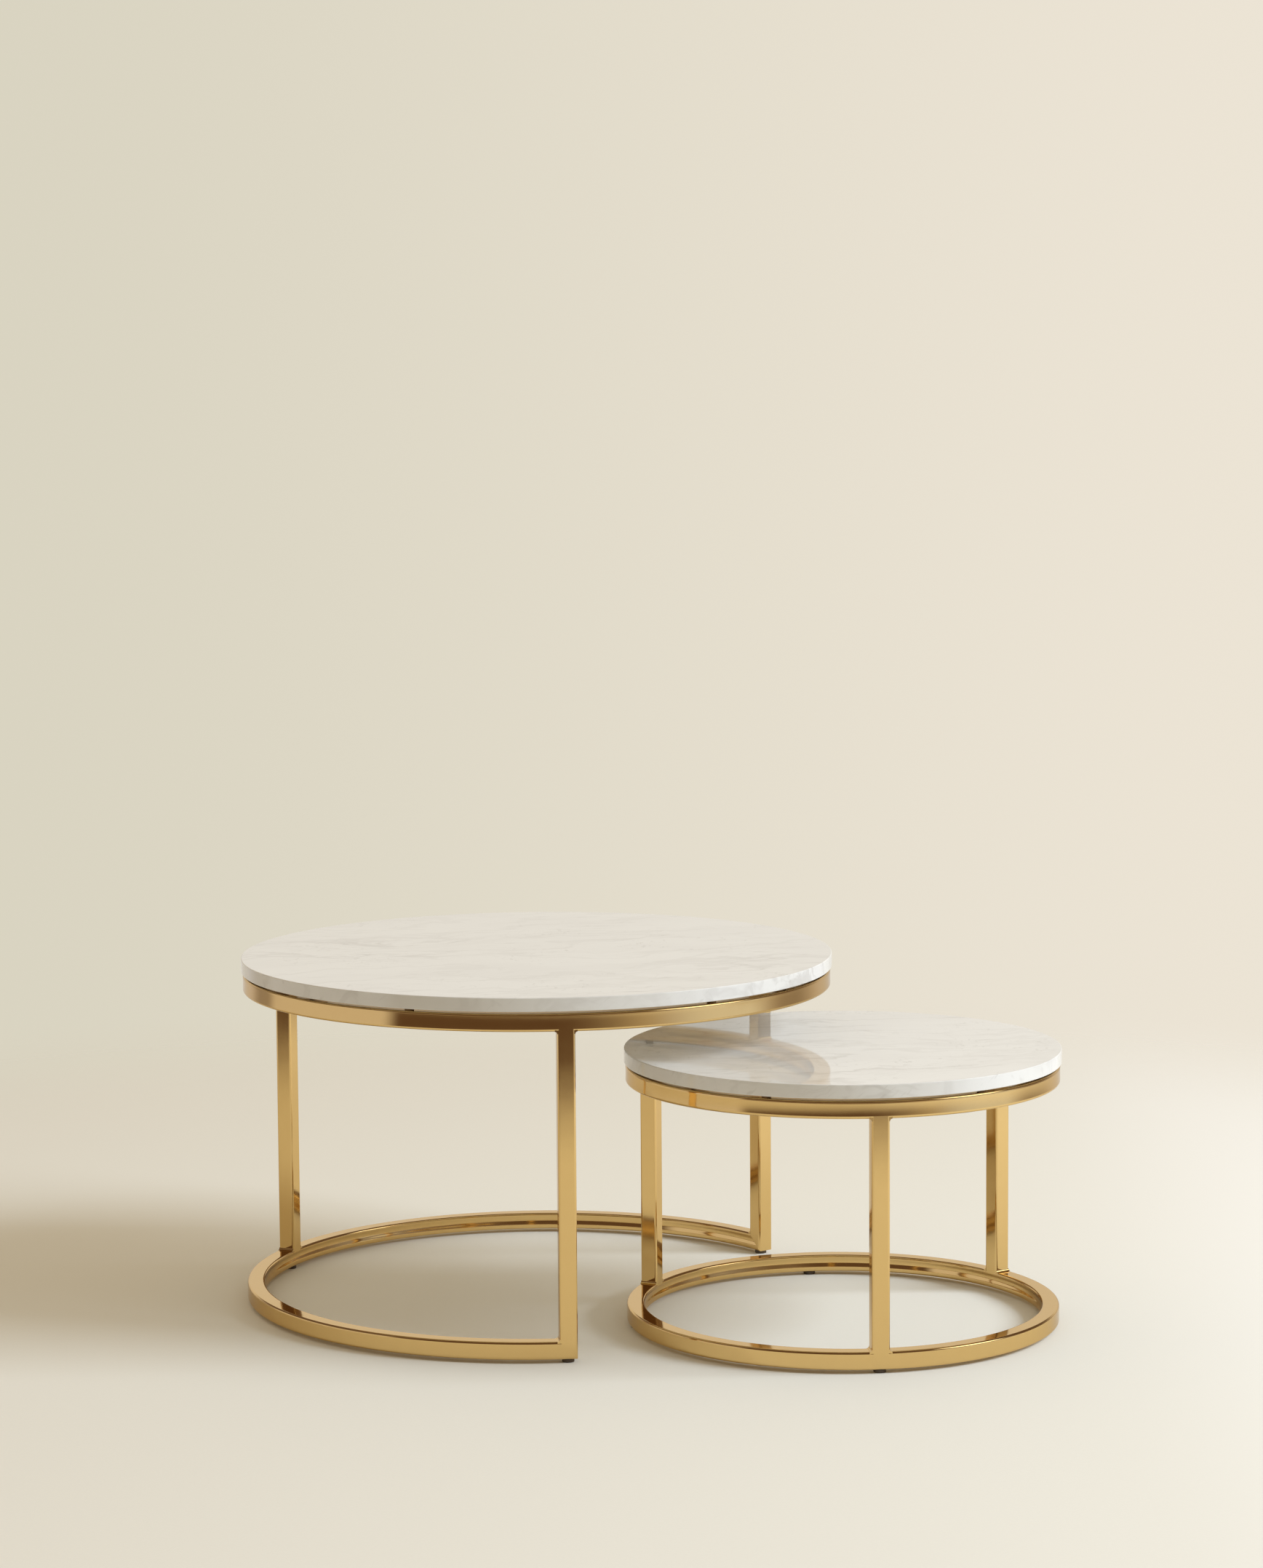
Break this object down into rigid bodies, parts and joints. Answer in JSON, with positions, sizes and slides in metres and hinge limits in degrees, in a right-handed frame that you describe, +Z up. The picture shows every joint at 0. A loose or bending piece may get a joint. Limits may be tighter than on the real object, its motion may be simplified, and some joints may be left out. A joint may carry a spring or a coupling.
{
  "type": "nesting tables",
  "caption": "Pair of round nesting tables with polished marble tops on square brass tube frames; the small one slides under the large one through its open C-shaped base.",
  "frame": {"origin": "on the floor, at the middle of the pair's outline as the tables stand at rest, the small one partly pulled out", "axes": "+X from the large table's axis to the small table's, the way the small table slides out; +Z up; +Y to the left of +X"},
  "size_m": [1.1284, 0.8, 0.47],
  "materials": {
    "marble": "polished white marble with faint warm-grey veins",
    "frame_brass": "polished brass plating on square tube",
    "insert_brass": "plain turned brass",
    "fastener_steel": "zinc-plated",
    "bumper_rubber": "matte dark brown",
    "glide_plastic": "matte dark brown"
  },
  "bodies": {
    "large_table": {"large_marble_top": "marble", "large_top_inserts": "insert_brass", "large_bumpers": "bumper_rubber", "large_top_ring": "frame_brass", "large_mounting_tabs": "frame_brass", "large_tab_screws": "fastener_steel", "large_tab_washers": "fastener_steel", "large_back_leg": "frame_brass", "large_right_leg": "frame_brass", "large_left_leg": "frame_brass", "large_weld_fillets": "frame_brass", "large_glides": "glide_plastic", "large_base_arc": "frame_brass"},
    "small_table": {"small_marble_top": "marble", "small_top_inserts": "insert_brass", "small_bumpers": "bumper_rubber", "small_top_ring": "frame_brass", "small_mounting_tabs": "frame_brass", "small_tab_screws": "fastener_steel", "small_tab_washers": "fastener_steel", "small_back_leg": "frame_brass", "small_right_leg": "frame_brass", "small_left_leg": "frame_brass", "small_weld_fillets": "frame_brass", "small_glides": "glide_plastic", "small_base_ring": "frame_brass"}
  },
  "joints": [
    {"name": "nest_slide", "type": "slide", "parent": "large_table", "child": "small_table", "axis": [1, 0, 0], "range_m": [-0.527, 0.25]}
  ]
}
